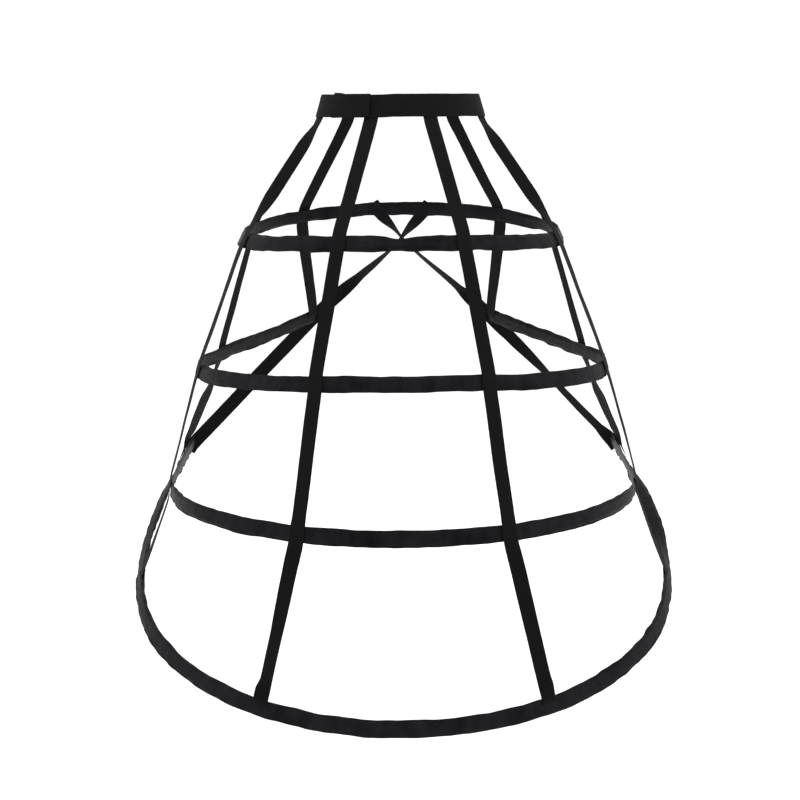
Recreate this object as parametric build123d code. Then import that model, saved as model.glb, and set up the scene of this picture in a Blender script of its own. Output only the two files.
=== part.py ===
"""Crinoline cage: an open-fronted skirt frame of four boned hoops hung from a waistband by webbing straps.

Millimetres, +Z up. The origin is the centre of the waistband at half its height. The wearer faces +Y,
where the cage is open, and the long back of the skirt is towards -Y. +X is the wearer's right.
"""

from build123d import *
from dataclasses import dataclass
from math import asin, atan2, ceil, cos, pi, sin
import os

# Waistband: an oval of stiff webbing that closes with a lap on the left of the back.
BAND_HEIGHT = 40.0
BAND_THICKNESS = 1.6
BAND_HALF_WIDTH = 141.5        # of the oval at half height
BAND_HALF_DEPTH = 101.0
BAND_FLARE = 11.0              # how much further out the lower edge is than the upper one
BAND_STEP = 5.0                # degrees between the band's sections
LAP_EDGE = 52.0                # the outer layer ends this far left of the back's middle
LAP_LENGTH = 46.0              # under layer hidden by the outer one
LAP_LEAD = 17.0                # under layer that is already at its depth before the lap
LAP_STEP = 26.0                # length over which the under layer steps inwards

# Hook and loop closure between the two layers of the lap.
TAPE_THICKNESS = 1.2
TAPE_WIDTH = 30.0
TAPE_MARGIN = 5.0              # bare lap at each end of the tapes
TAPE_GAP = 0.25

# Webbing straps.
STRAP_WIDTH = 25.0
STRAP_THICKNESS = 1.0
STRAP_SPAN = 25.0              # longest stretch between a strap's sections
STRAP_TUCK = 28.0              # length of strap sewn inside the waistband
STRAP_FOOT = 9.0               # how far a strap's foot runs down the lowest hoop
SEAM_GAP = 0.6                 # between layers that are sewn face to face
BEND_CLEARANCE = 3.0           # past an edge before a strap may turn over it
EDGE_OVERRUN = 48.0            # how far the edge straps run past each other on the front of the top hoop
EDGE_SAG = 14.0                # how far they hang below a straight line, over the open front

# Hoops: a flat fabric tube round a flat spring bone.
CASING_HEIGHT = 28.0
CASING_THICKNESS = 4.0
CASING_WALL = 0.5
SEAM_PINCH = 0.62              # share of its height that a closed casing keeps at its seam
PINCH_LENGTH = 20.0
BUTT_GAP = 0.6                 # between the two ends of a closed casing, and of its bone
RUN_ON = 0.2                   # how far a tube's hollow is cut past its ends: under half the butt gap
BONE_WIDTH = 12.0
BONE_THICKNESS = 1.4
BONE_SETBACK = 9.0             # from an open casing's end to the end of its bone
TIP_GRIP = 12.0                # length of bone inside a tip
TIP_NOSE = 3.0                 # solid nose of a tip, past the bone's end
TIP_WALL = 0.4
FIT_GAP = 0.08                 # between a bone and the tip or sleeve that holds it
SLEEVE_LENGTH = 50.0
QUARTER_SPANS = 15             # straight spans in each quarter of a hoop

UP = Vector(0, 0, 1)
FORWARD = Vector(0, 1, 0)


@dataclass
class Hoop:
    """A hoop's middle line. u is 0 at the back, 1 at the wearer's right side and 2 at its front end.

    The band leans out downwards. Where it twists, the leans are the degrees more at the sides, and half way
    from there to the left and right front ends.
    """

    name: str
    half_width: float
    back_depth: float
    front_depth: float
    front_half_width: float
    drop_back: float
    drop_side: float
    drop_front: float
    closed: bool = False
    curl: float = 2.0
    side_lean: float = 0.0
    left_lean: float = 0.0
    right_lean: float = 0.0
    above_width: float = BAND_HALF_WIDTH
    above_drop: float = 0.0

    def height(self, y):
        """One parabola carries the line through its three drops, at the back, the sides and the front."""
        back = self.drop_side - self.drop_back
        front = self.drop_side - self.drop_front
        bow = (back / self.back_depth + front / self.front_depth) / (self.back_depth + self.front_depth)
        slope = front / self.front_depth - bow * self.front_depth
        return -self.drop_side + slope * y + bow * y * y

    def place(self, u):
        if self.closed and u > 2:
            u -= 4
        side = 1 if u >= 0 else -1
        turn = min(abs(u), 1) * pi / 2
        past = max(abs(u) - 1, 0)
        x = self.half_width * sin(turn)
        y = -self.back_depth * cos(turn)
        if past and self.closed:
            x = self.half_width * cos(past * pi / 2)
            y = self.front_depth * sin(past * pi / 2)
        elif past:
            x = self.half_width - (self.half_width - self.front_half_width) * past**self.curl
            y = self.front_depth * past
        return Vector(side * x, y, self.height(y))

    def step(self, u):
        """Two places close to each other round u, and the difference of their u."""
        low, high = u - 0.004, u + 0.004
        if not self.closed:
            low, high = max(low, -2), min(high, 2)
        return self.place(high) - self.place(low), high - low

    def share(self, u, length):
        """The change in u that a length makes near u."""
        run, change = self.step(u)
        return length * change / run.length

    def lean(self, u):
        """How far the top of the band leans inwards."""
        past = max(abs(u) - 1, 0)
        more = self.side_lean * (min(abs(u), 1) ** 3 - past)
        more += (self.right_lean if u > 0 else self.left_lean) * (1 - cos(past * pi) ** 4)
        flare = atan2(self.half_width - self.above_width, self.drop_side - self.above_drop)
        return 0.8 * flare + more * pi / 180

    def axes(self, u):
        """The outward normal of the casing's face, the way up it, and the line's direction."""
        run = self.step(u)[0].normalized()
        level = run.cross(UP).normalized()
        lean = self.lean(u)
        out = run.cross(UP * cos(lean) - level * sin(lean)).normalized()
        return out, out.cross(run).normalized(), run

    def spot(self, u, rise=0.0, lift=0.0):
        """A point beside the line: rise up the casing's face, and lift out of it."""
        out, up, _ = self.axes(u)
        return self.place(u) + up * rise + out * lift


HOOP_1 = Hoop(
    "hoop_1", half_width=278, back_depth=250, front_depth=240, front_half_width=0,
    drop_back=224, drop_side=223, drop_front=187, closed=True,
)
HOOP_2 = Hoop(
    "hoop_2", half_width=358, back_depth=320, front_depth=336, front_half_width=164,
    drop_back=447, drop_side=447, drop_front=393, curl=1.3,
    above_width=HOOP_1.half_width, above_drop=HOOP_1.drop_side,
)
HOOP_3 = Hoop(
    "hoop_3", half_width=408, back_depth=385, front_depth=350, front_half_width=403,
    drop_back=688, drop_side=658, drop_front=638, side_lean=-8,
    above_width=HOOP_2.half_width, above_drop=HOOP_2.drop_side,
)
HOOP_4 = Hoop(
    "hoop_4", half_width=467, back_depth=449, front_depth=HOOP_3.front_depth, front_half_width=415,
    drop_back=981, drop_side=813, drop_front=655, side_lean=15, left_lean=26, right_lean=66,
    above_width=HOOP_3.half_width, above_drop=HOOP_3.drop_side,
)
HOOPS = (HOOP_1, HOOP_2, HOOP_3, HOOP_4)

# Where each kind of strap crosses: degrees round the waistband from the back, then u on the hoops.
BACK_STRAP = (20.5, 0.24, 0.256, 0.273, 0.333)
SIDE_STRAP = (72.0, 0.81, 0.86, 0.93, 0.965)
QUARTER_STRAP = (99.0, 1.24, 1.27)
FRONT_STRAP = (140.5, 1.56)
QUARTER_FOOT_INSET = 20.0      # middle of the foot, from the front end of the lowest hoop
FRONT_FOOT_INSET = 15.0        # middle of the foot, from the front end of the second hoop


def section(point, out, up, thickness, height):
    """A rectangle across a band's run: its thickness along out, and its height along up."""
    corners = ((1, 1), (1, -1), (-1, -1), (-1, 1))
    return Wire.make_polygon([point + out * (a * thickness / 2) + up * (b * height / 2) for a, b in corners])


def skin(sections):
    return Solid.make_loft(sections, ruled=True)


def spread(path):
    """The same pairs with more between them, so that a twist is shared out along each long span."""
    fine = path[:1]
    for (start, first), (end, last) in zip(path, path[1:]):
        count = ceil((end - start).length / STRAP_SPAN)
        shares = [i / count for i in range(1, count + 1)]
        fine += [(start + (end - start) * share, first + (last - first) * share) for share in shares]
    return fine


def ribbon(path):
    """Strap webbing through (point, face normal) pairs, with its sections square to its run."""
    path = spread(path)
    points = [point for point, _ in path]
    runs = [(b - a).normalized() for a, b in zip(points, points[1:])]
    runs = [runs[0]] + [(a + b).normalized() for a, b in zip(runs, runs[1:])] + [runs[-1]]
    sections = []
    for (point, normal), run in zip(path, runs):
        across = run.cross(normal).normalized()
        sections.append(section(point, across.cross(run).normalized(), across, STRAP_THICKNESS, STRAP_WIDTH))
    return skin(sections)


def band_lift(angle):
    """How far the waistband's middle surface is from its oval: the under layer of the lap lies inside."""
    depth = BAND_THICKNESS + 2 * TAPE_THICKNESS + 3 * TAPE_GAP
    full = -360 - band_angle(LAP_EDGE - LAP_LEAD)
    free = -360 - band_angle(LAP_EDGE - LAP_LEAD - LAP_STEP)
    part = min(max((free - angle) / (free - full), 0), 1)
    return -depth * part * part * (3 - 2 * part)


def band_angle(x):
    """Degrees round the oval from the back's middle to a point this far from it sideways."""
    return asin(x / BAND_HALF_WIDTH) * 180 / pi


def band_spot(angle, rise=0.0, lift=0.0):
    """A point of the waistband, its outward normal and the way up its face."""
    turn = angle * pi / 180
    level = Vector(sin(turn) / BAND_HALF_WIDTH, -cos(turn) / BAND_HALF_DEPTH, 0).normalized()
    lean = atan2(BAND_FLARE, BAND_HEIGHT)
    up = UP * cos(lean) - level * sin(lean)
    out = level * cos(lean) + UP * sin(lean)
    middle = Vector(BAND_HALF_WIDTH * sin(turn), -BAND_HALF_DEPTH * cos(turn), 0)
    return middle + up * rise + out * lift, out, up


def band_stretch(start, end, thickness, height, lift):
    """A stretch of the waistband or of a tape on it, from one angle round the oval to another."""
    count = max(2, round(abs(end - start) / BAND_STEP))
    angles = [start + (end - start) * i / count for i in range(count + 1)]
    sections = []
    for angle in angles:
        point, out, up = band_spot(angle, lift=lift(angle))
        sections.append(section(point, out, up, thickness, height))
    return skin(sections)


def waistband():
    start = -band_angle(LAP_EDGE)
    end = -360 - band_angle(LAP_EDGE + LAP_LENGTH)
    return band_stretch(start, end, BAND_THICKNESS, BAND_HEIGHT, band_lift)


def closure_tape(under):
    """The loop tape inside the outer layer, or the hook tape on the under layer."""
    start = -band_angle(LAP_EDGE + TAPE_MARGIN)
    end = -band_angle(LAP_EDGE + LAP_LENGTH - TAPE_MARGIN)
    clear = BAND_THICKNESS / 2 + TAPE_GAP + TAPE_THICKNESS / 2
    lift = band_lift(-360 - band_angle(LAP_EDGE)) + clear if under else -clear
    return band_stretch(start, end, TAPE_THICKNESS, TAPE_WIDTH, lambda angle: lift)


def band_bow(angle):
    """How far the oval bows away from a strap's flat width."""
    turn = angle * pi / 180
    radius = (BAND_HALF_WIDTH * cos(turn)) ** 2 + (BAND_HALF_DEPTH * sin(turn)) ** 2
    radius = radius**1.5 / (BAND_HALF_WIDTH * BAND_HALF_DEPTH)
    return STRAP_WIDTH**2 / (8 * radius)


def tucked(angle, side):
    """A strap's two upper points, inside the waistband and just below it."""
    lapped = side < 0 and angle < band_angle(LAP_EDGE + LAP_LENGTH)
    inside = band_lift(-360 - angle) if lapped else 0
    lift = inside - band_bow(angle) - BAND_THICKNESS / 2 - SEAM_GAP - STRAP_THICKNESS / 2
    foot = -BAND_HEIGHT / 2
    rises = (foot + STRAP_TUCK, foot - BEND_CLEARANCE)
    return [band_spot(side * angle, rise, lift)[:2] for rise in rises]


def face_lift():
    """From a hoop's middle line to the middle of a strap that is sewn on its casing."""
    return CASING_THICKNESS / 2 + SEAM_GAP + STRAP_THICKNESS / 2


def crossing(hoop, u):
    """A strap's two points where it runs down the outside of a casing."""
    edge = CASING_HEIGHT / 2 + BEND_CLEARANCE
    return [(hoop.spot(u, rise, face_lift()), hoop.axes(u)[0]) for rise in (edge, -edge)]


def foot(hoop, u, lift):
    """A strap's last two points, where its foot is sewn on a casing."""
    rises = (CASING_HEIGHT / 2 + BEND_CLEARANCE, CASING_HEIGHT / 2 - STRAP_FOOT)
    return [(hoop.spot(u, rise, lift), hoop.axes(u)[0]) for rise in rises]


def long_strap(side, crossings):
    """A strap from the waistband to the lowest hoop, over the hoops between."""
    path = tucked(crossings[0], side)
    for hoop, u in zip(HOOPS[:-1], crossings[1:]):
        path += crossing(hoop, side * u)
    return ribbon(path + foot(HOOP_4, side * crossings[-1], face_lift()))


def quarter_strap(side):
    """From the waistband, over two hoops, to the front ends of the lower two."""
    angle, *crossings = QUARTER_STRAP
    path = tucked(angle, side)
    for hoop, u in zip(HOOPS, crossings):
        path += crossing(hoop, side * u)
    u = 2 - HOOP_4.share(2, QUARTER_FOOT_INSET)
    return ribbon(path + foot(HOOP_4, side * u, face_lift() + SEAM_GAP))


def front_strap(side):
    """From the waistband's front, over the top hoop, to the inside of the second hoop's front end."""
    angle, u = FRONT_STRAP
    path = tucked(angle, side) + crossing(HOOP_1, side * u)
    u = 2 - HOOP_2.share(2, FRONT_FOOT_INSET)
    return ribbon(path + foot(HOOP_2, side * u, -face_lift()))


def end_plane(*hoops):
    """The y of a strap that lies across the cut front ends of these hoops' casings."""
    corners = [(a * CASING_HEIGHT / 2, b * CASING_THICKNESS / 2) for a in (1, -1) for b in (1, -1)]
    reach = max(hoop.spot(2, rise, lift).Y for hoop in hoops for rise, lift in corners)
    return reach + SEAM_GAP + STRAP_THICKNESS / 2


def edge_strap(side):
    """The edge of the front opening: across the lower hoops' ends, the second's, and onto the top one."""
    low = (HOOP_3.place(2) + HOOP_4.place(2)) / 2
    low = Vector(low.X, end_plane(HOOP_3, HOOP_4), low.Z)
    middle = Vector(HOOP_2.place(2).X, end_plane(HOOP_2), HOOP_2.place(2).Z)
    over = face_lift() + SEAM_GAP + (STRAP_THICKNESS + 4 * SEAM_GAP if side > 0 else SEAM_GAP)
    past = 2 - HOOP_1.share(2, EDGE_OVERRUN)
    normal = HOOP_1.axes(-past)[0]
    top = HOOP_1.spot(-past, 0, over)
    rise = (middle - low).normalized()
    climb = (top - middle).normalized()
    reach = CASING_HEIGHT / 2 + BEND_CLEARANCE
    front = HOOP_1.axes(2)[0]
    path = [
        (low - rise * reach, FORWARD),
        (low + rise * reach, FORWARD),
        (middle - rise * reach, FORWARD),
        (middle + climb * reach, FORWARD),
        (middle + (top - middle) * 0.7 - HOOP_1.axes(2)[1] * EDGE_SAG, front),
        (top + climb * STRAP_FOOT, normal),
    ]
    if side < 0:
        path = [(Vector(-p.X, p.Y, p.Z), Vector(-n.X, n.Y, n.Z)) for p, n in path]
    return ribbon(path)


def hoop_ends(hoop, setback):
    """The u of a hoop's two ends, each drawn back by this length."""
    if hoop.closed:
        gap = hoop.share(0, setback)
        return gap, 4 - gap
    gap = hoop.share(2, setback)
    return gap - 2, 2 - gap


def stations(hoop, low, high):
    """The u of every section between two ends: the grid, and the places that fittings stop at."""
    grid = [i / QUARTER_SPANS for i in range(-2 * QUARTER_SPANS, 4 * QUARTER_SPANS + 1)]
    if hoop.closed:
        marks = [hoop.share(0, length) for length in (BUTT_GAP / 2, PINCH_LENGTH, SLEEVE_LENGTH / 2)]
        marks += [-mark for mark in marks]
        marks += [4 + mark for mark in marks]
    else:
        marks = [2 - hoop.share(2, length) for length in (BONE_SETBACK, BONE_SETBACK + TIP_GRIP)]
        marks += [-mark for mark in marks]
    inner = [u for u in grid + marks if low + 1e-6 < u < high - 1e-6]
    return [low] + sorted(set(inner)) + [high]


def hoop_band(hoop, low, high, thickness, height, pinch=False, run_on=0.0):
    """A flat band along a hoop's line from one u to another, and run on straight past both ends."""
    sections = []
    places = stations(hoop, low, high)
    for u in places:
        out, up, run = hoop.axes(u)
        tall = height
        if pinch:
            near = min(abs(u), abs(4 - u)) / hoop.share(0, PINCH_LENGTH)
            tall -= CASING_HEIGHT * (1 - SEAM_PINCH) * max(1 - near, 0)
        if run_on and u == places[0]:
            sections.append(section(hoop.place(u) - run * run_on, out, up, thickness, tall))
        sections.append(section(hoop.place(u), out, up, thickness, tall))
        if run_on and u == places[-1]:
            sections.append(section(hoop.place(u) + run * run_on, out, up, thickness, tall))
    return skin(sections)


def casing(hoop):
    """The flat fabric tube, open at its two ends."""
    low, high = hoop_ends(hoop, BUTT_GAP / 2 if hoop.closed else 0)
    outer = hoop_band(hoop, low, high, CASING_THICKNESS, CASING_HEIGHT, hoop.closed)
    thickness, height = CASING_THICKNESS - 2 * CASING_WALL, CASING_HEIGHT - 2 * CASING_WALL
    return outer - hoop_band(hoop, low, high, thickness, height, hoop.closed, RUN_ON)


def bone(hoop):
    low, high = hoop_ends(hoop, BUTT_GAP / 2 if hoop.closed else BONE_SETBACK)
    return hoop_band(hoop, low, high, BONE_THICKNESS, BONE_WIDTH)


def pocket_size():
    return BONE_THICKNESS + 2 * FIT_GAP, BONE_WIDTH + 2 * FIT_GAP


def fitting_size():
    return BONE_THICKNESS + 2 * FIT_GAP + 2 * TIP_WALL, BONE_WIDTH + 2 * FIT_GAP + 2 * TIP_WALL


def sleeve(hoop):
    """The flat metal sleeve that joins the two ends of a closed hoop's bone."""
    half = hoop.share(0, SLEEVE_LENGTH / 2)
    outer = hoop_band(hoop, -half, half, *fitting_size())
    return outer - hoop_band(hoop, -half, half, *pocket_size(), run_on=RUN_ON)


def tip(hoop, side):
    """The smooth cap on the end of an open hoop's bone."""
    inner, end, nose = [
        2 - hoop.share(2, length)
        for length in (BONE_SETBACK + TIP_GRIP, BONE_SETBACK, BONE_SETBACK - TIP_NOSE)
    ]
    low, high = sorted((side * inner, side * nose))
    cap = hoop_band(hoop, low, high, *fitting_size())
    low, high = sorted((side * inner, side * end))
    out, up, run = hoop.axes(side * inner)
    mouth = hoop.place(side * inner)
    places = [(mouth - run * side * RUN_ON, out, up), (mouth, out, up)]
    out, up, _ = hoop.axes(side * end)
    places.append((hoop.place(side * end), out, up))
    return cap - skin([section(point, out, up, *pocket_size()) for point, out, up in places])


def parts():
    made = {
        "waistband": waistband(),
        "closure_loop_tape": closure_tape(under=False),
        "closure_hook_tape": closure_tape(under=True),
        "hoop_1_sleeve": sleeve(HOOP_1),
    }
    for hoop in HOOPS:
        made[f"{hoop.name}_casing"] = casing(hoop)
        made[f"{hoop.name}_bone"] = bone(hoop)
    for word, side in (("right", 1), ("left", -1)):
        made[f"back_strap_{word}"] = long_strap(side, BACK_STRAP)
        made[f"side_strap_{word}"] = long_strap(side, SIDE_STRAP)
        made[f"quarter_strap_{word}"] = quarter_strap(side)
        made[f"front_strap_{word}"] = front_strap(side)
        made[f"edge_strap_{word}"] = edge_strap(side)
        for hoop in HOOPS[1:]:
            made[f"{hoop.name}_tip_{word}"] = tip(hoop, side)
    return made


os.makedirs("parts", exist_ok=True)
for name, solid in parts().items():
    solid.label = name
    export_step(solid, f"parts/{name}.step")
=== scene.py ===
"""Crinoline cage: the cloth, webbing and thread of a boned skirt frame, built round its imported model.

It is laid out as an add-on: each group of pieces has its own operator, and the sidebar panel lists them.
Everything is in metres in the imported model's frame: +Z is up, the wearer faces +Y, and the origin is the
waistband's middle.
"""

from bisect import bisect_right
from math import atan2, ceil, cos, exp, pi, radians, sin, sqrt

import bmesh
import bpy
from bpy.props import FloatProperty, FloatVectorProperty, PointerProperty
from mathutils import Matrix, Quaternion, Vector, noise


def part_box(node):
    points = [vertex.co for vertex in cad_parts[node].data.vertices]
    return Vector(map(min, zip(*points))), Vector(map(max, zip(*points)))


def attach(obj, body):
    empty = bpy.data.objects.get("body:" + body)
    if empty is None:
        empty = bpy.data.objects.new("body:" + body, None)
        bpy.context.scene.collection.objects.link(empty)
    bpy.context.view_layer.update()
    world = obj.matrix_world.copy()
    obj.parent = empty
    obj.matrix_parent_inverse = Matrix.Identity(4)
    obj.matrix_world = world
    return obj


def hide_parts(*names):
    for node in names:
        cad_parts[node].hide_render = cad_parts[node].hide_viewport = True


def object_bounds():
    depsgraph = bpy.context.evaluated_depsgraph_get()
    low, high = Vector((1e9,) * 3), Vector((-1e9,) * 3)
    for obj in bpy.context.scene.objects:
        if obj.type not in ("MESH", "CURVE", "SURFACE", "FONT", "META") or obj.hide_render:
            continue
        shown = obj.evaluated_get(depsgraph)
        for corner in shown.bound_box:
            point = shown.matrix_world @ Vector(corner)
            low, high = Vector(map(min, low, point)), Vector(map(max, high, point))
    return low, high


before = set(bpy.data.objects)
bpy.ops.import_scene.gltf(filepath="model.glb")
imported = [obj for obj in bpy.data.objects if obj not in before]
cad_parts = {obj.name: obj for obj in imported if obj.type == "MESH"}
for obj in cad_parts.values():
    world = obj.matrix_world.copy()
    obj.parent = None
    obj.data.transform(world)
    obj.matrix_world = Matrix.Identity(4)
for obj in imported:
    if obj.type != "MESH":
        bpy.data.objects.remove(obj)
CAD_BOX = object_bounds()

bl_info = {
    "name": "Crinoline Cage",
    "version": (1, 0, 0),
    "blender": (4, 5, 0),
    "location": "View3D > Sidebar > Cage",
    "description": "Builds the waistband, straps, hoop casings, stitching and stage of a crinoline cage",
    "category": "Add Mesh",
}

UP = Vector((0, 0, 1))
FORWARD = Vector((0, 1, 0))
HOOPS = (1, 2, 3, 4)
SIDES = ("left", "right")
STRAPS = ("back", "side", "quarter", "front", "edge")

BAND_CUTS = 200  # spaces between the cuts that find the band's line
hoop_lines = {}  # each casing's line by its hoop's number, once it is built


# ---------- settings


def length(name, description, default):
    return FloatProperty(
        name=name, description=description, default=default, min=0, unit="LENGTH", precision=5
    )


def share(name, description, default):
    return FloatProperty(name=name, description=description, default=default, min=0, max=1, subtype="FACTOR")


def angle(name, description, default):
    return FloatProperty(name=name, description=description, default=radians(default), subtype="ANGLE")


def tint(name, description, default):
    return FloatVectorProperty(
        name=name, description=description, default=default, size=3, min=0, max=1, subtype="COLOR"
    )


class CasingSettings(bpy.types.PropertyGroup):
    """Sizes and finish of the fabric tubes round the hoops."""

    spacing: length("Ring spacing", "Distance between the rings of a casing's mesh", 0.0024)
    bone_swell: length("Bone swell", "Half thickness of a casing where the bone fills it", 0.0020)
    tip_swell: length("Tip swell", "How much thicker a casing is over the tips of its bone", 0.0006)
    flat_swell: length("Flat swell", "Half thickness of the two cloth layers past the bone", 0.0005)
    bone_rise: length("Bone rise", "Half height of the part that the bone fills", 0.0074)
    edge_wave: length("Edge wave", "How far the long edges stray up and down", 0.0012)
    slack: length("Slack", "How far the free cloth past the bone curls in and out", 0.0020)
    crease: length("Crease", "Depth of the slanting creases", 0.0014)
    pucker: length("Pucker", "Depth of the small puckers along the seams", 0.00026)
    colour: tint("Colour", "Colour of the satin", (0.0042, 0.0042, 0.0049))
    roughness: share("Roughness", "Roughness of the satin", 0.42)


class WebbingSettings(bpy.types.PropertyGroup):
    """Sizes and finish of the straps."""

    spacing: length("Ring spacing", "Distance between the rings of a strap's mesh", 0.005)
    thickness: length("Thickness", "Thickness of the webbing", 0.0010)
    drift: length("Drift", "How far a strap strays in and out between its seams", 0.0010)
    rib: length("Rib", "Distance between the ribs of the weave", 0.0012)
    trim: length("Trim", "How much of an edge strap's foot is cut off and turned in", 0.009)
    colour: tint("Colour", "Colour of the webbing", (0.0034, 0.0031, 0.0034))
    roughness: share("Roughness", "Roughness of the webbing", 0.82)


class BandSettings(bpy.types.PropertyGroup):
    """Sizes and finish of the waistband."""

    spacing: length("Ring spacing", "Distance between the rings of the waistband's mesh", 0.003)
    thickness: length("Thickness", "Thickness of the folded band", 0.0016)
    wave: length("Wave", "How far the band's edges stray up and down", 0.0007)
    seam_inset: length("Seam inset", "From the band's edge to its row of stitches", 0.003)
    end_rise: length("End rise", "How far the hidden layer's end sticks up past the outer one", 0.0040)
    colour: tint("Colour", "Colour of the band's twill", (0.0036, 0.0033, 0.0036))
    roughness: share("Roughness", "Roughness of the band's twill", 0.86)


class ThreadSettings(bpy.types.PropertyGroup):
    """Sizes and finish of the sewing thread."""

    pitch: length("Pitch", "Distance from one stitch to the next", 0.0031)
    stitch: length("Stitch", "Length of a stitch", 0.0023)
    girth: length("Girth", "Thickness of the thread", 0.00042)
    colour: tint("Colour", "Colour of the thread", (0.0075, 0.0070, 0.0078))
    roughness: share("Roughness", "Roughness of the thread", 0.55)


class FittingSettings(bpy.types.PropertyGroup):
    """Finish of the pieces inside the casings and the lap."""

    bone_colour: tint("Bone colour", "Colour of the bones' moulded coat", (0.72, 0.71, 0.67))
    tip_colour: tint("Tip colour", "Colour of the bones' moulded tips", (0.62, 0.62, 0.60))
    sleeve_colour: tint("Sleeve colour", "Colour of the joining sleeve's plating", (0.62, 0.61, 0.58))
    tape_colour: tint("Tape colour", "Colour of the hook and loop tapes", (0.012, 0.012, 0.013))


class StageSettings(bpy.types.PropertyGroup):
    """The camera, the floor and the light."""

    distance: length("Camera distance", "From the camera to the cage's middle", 3.770)
    height: FloatProperty(
        name="Camera height", description="Above the waistband's middle", default=-0.025, unit="LENGTH"
    )
    tilt: angle("Camera tilt", "How far the camera looks down", 7.386)
    roll: angle("Camera roll", "How far the camera leans", 0.43)
    lens: FloatProperty(name="Lens", description="Focal length", default=97.2, unit="CAMERA")
    shift: FloatProperty(name="Lens shift", description="Sideways shift of the view", default=-0.0031)
    floor_gap: length("Floor gap", "From the cage's lowest edge to the floor", 0.07)
    floor_radius: length("Floor radius", "Radius of the round floor", 40.0)
    floor_colour: tint("Floor colour", "Colour of the floor", (0.96, 0.96, 0.96))
    floor_glow: share("Floor glow", "Faint light that keeps the floor as white as the surround", 0.06)
    sky: FloatProperty(name="Surround", description="Brightness of the white surround", default=1.06, min=0)
    softbox: FloatProperty(
        name="Softboxes", description="Power of the soft lights", default=42.0, min=0, unit="POWER"
    )


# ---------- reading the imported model


def smooth(value, low, high):
    """0 at low, 1 at high, and an even curve between them."""
    part = min(max((value - low) / (high - low), 0), 1)
    return part * part * (3 - 2 * part)


def welded(node):
    """A merged copy of a CAD node's mesh."""
    solid = bmesh.new()
    solid.from_mesh(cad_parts[node].data)
    bmesh.ops.remove_doubles(solid, verts=solid.verts, dist=1e-6)
    return solid


def outlines(solid, point, normal):
    """The separate outlines in which a plane cuts a solid, each a list of straight pieces."""
    depth = {vert: (vert.co - point).dot(normal) for vert in solid.verts}
    spots, pairs, meets = {}, [], {}
    for face in solid.faces:
        crossed = []
        for edge in face.edges:
            low, high = depth[edge.verts[0]], depth[edge.verts[1]]
            if (low > 0) != (high > 0):
                crossed.append(edge)
                spots[edge] = edge.verts[0].co.lerp(edge.verts[1].co, low / (low - high))
        if len(crossed) == 2:
            for edge in crossed:
                meets.setdefault(edge, []).append(len(pairs))
            pairs.append(crossed)
    found, waiting = [], set(range(len(pairs)))
    while waiting:
        queue, outline = [waiting.pop()], []
        while queue:
            pair = pairs[queue.pop()]
            outline.append((spots[pair[0]], spots[pair[1]]))
            beside = {i for edge in pair for i in meets[edge]} & waiting
            waiting -= beside
            queue += beside
        found.append(outline)
    return found


def long_side(pieces, level, rise):
    """The middle of an outline, the direction of its long side, and half that side's length."""
    total = sum((b - a).length for a, b in pieces)
    middle = sum(((a + b) / 2 * (b - a).length for a, b in pieces), Vector()) / total
    along, cross, over = 0.0, 0.0, 0.0
    for a, b in pieces:
        for spot, weight in ((a, 1), ((a + b) / 2, 4), (b, 1)):
            x, y = (spot - middle).dot(level), (spot - middle).dot(rise)
            along += x * x * weight * (b - a).length
            cross += x * y * weight * (b - a).length
            over += y * y * weight * (b - a).length
    turn = atan2(2 * cross, along - over) / 2
    way = level * cos(turn) + rise * sin(turn)
    return middle, way, max(abs((a - middle).dot(way)) for a, b in pieces)


def average(values, closed, rounds):
    """Vectors evened out with their neighbours, with the ends kept."""
    for _ in range(rounds):
        if closed:
            after = values[1:] + values[:1]
            values = [(values[i - 1] + values[i] * 2 + after[i]) / 4 for i in range(len(values))]
        else:
            inner = [(a + b * 2 + c) / 4 for a, b, c in zip(values, values[1:], values[2:])]
            values = [values[0]] + inner + [values[-1]]
    return values


class Line:
    """The middle line of a band-shaped piece, with the way across the band at every place."""

    def __init__(self, points, acrosses, closed=False):
        self.closed = closed
        if closed:
            points, acrosses = points + points[:1], acrosses + acrosses[:1]
        self.points, self.acrosses = points, acrosses
        self.reached = [0.0]
        for a, b in zip(points, points[1:]):
            self.reached.append(self.reached[-1] + (b - a).length)
        self.length = self.reached[-1]
        self.runs = []
        last = len(points) - 1
        for i in range(last + 1):
            before, after = (i - 1, i + 1) if 0 < i < last else (max(i - 1, 0), min(i + 1, last))
            if closed and i in (0, last):
                before, after = last - 1, 1
            self.runs.append((points[after] - points[before]).normalized())

    def at(self, s):
        """The point at a length along the line, and the band's outward, across and forward ways there."""
        if self.closed:
            s %= self.length
        s = min(max(s, 0.0), self.length)
        i = min(max(bisect_right(self.reached, s) - 1, 0), len(self.points) - 2)
        part = (s - self.reached[i]) / (self.reached[i + 1] - self.reached[i])
        run = self.runs[i].lerp(self.runs[i + 1], part).normalized()
        across = self.acrosses[i].lerp(self.acrosses[i + 1], part)
        across = (across - run * across.dot(run)).normalized()
        return self.points[i].lerp(self.points[i + 1], part), run.cross(across), across, run

    def nearest(self, other):
        """The length along this line where it comes nearest to another, and how near that is."""
        best = (0.0, 1e9)
        for s, point in zip(self.reached, self.points):
            gap = min((point - spot).length for spot in other.points)
            if gap < best[1]:
                best = (s, gap)
        return best


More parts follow.
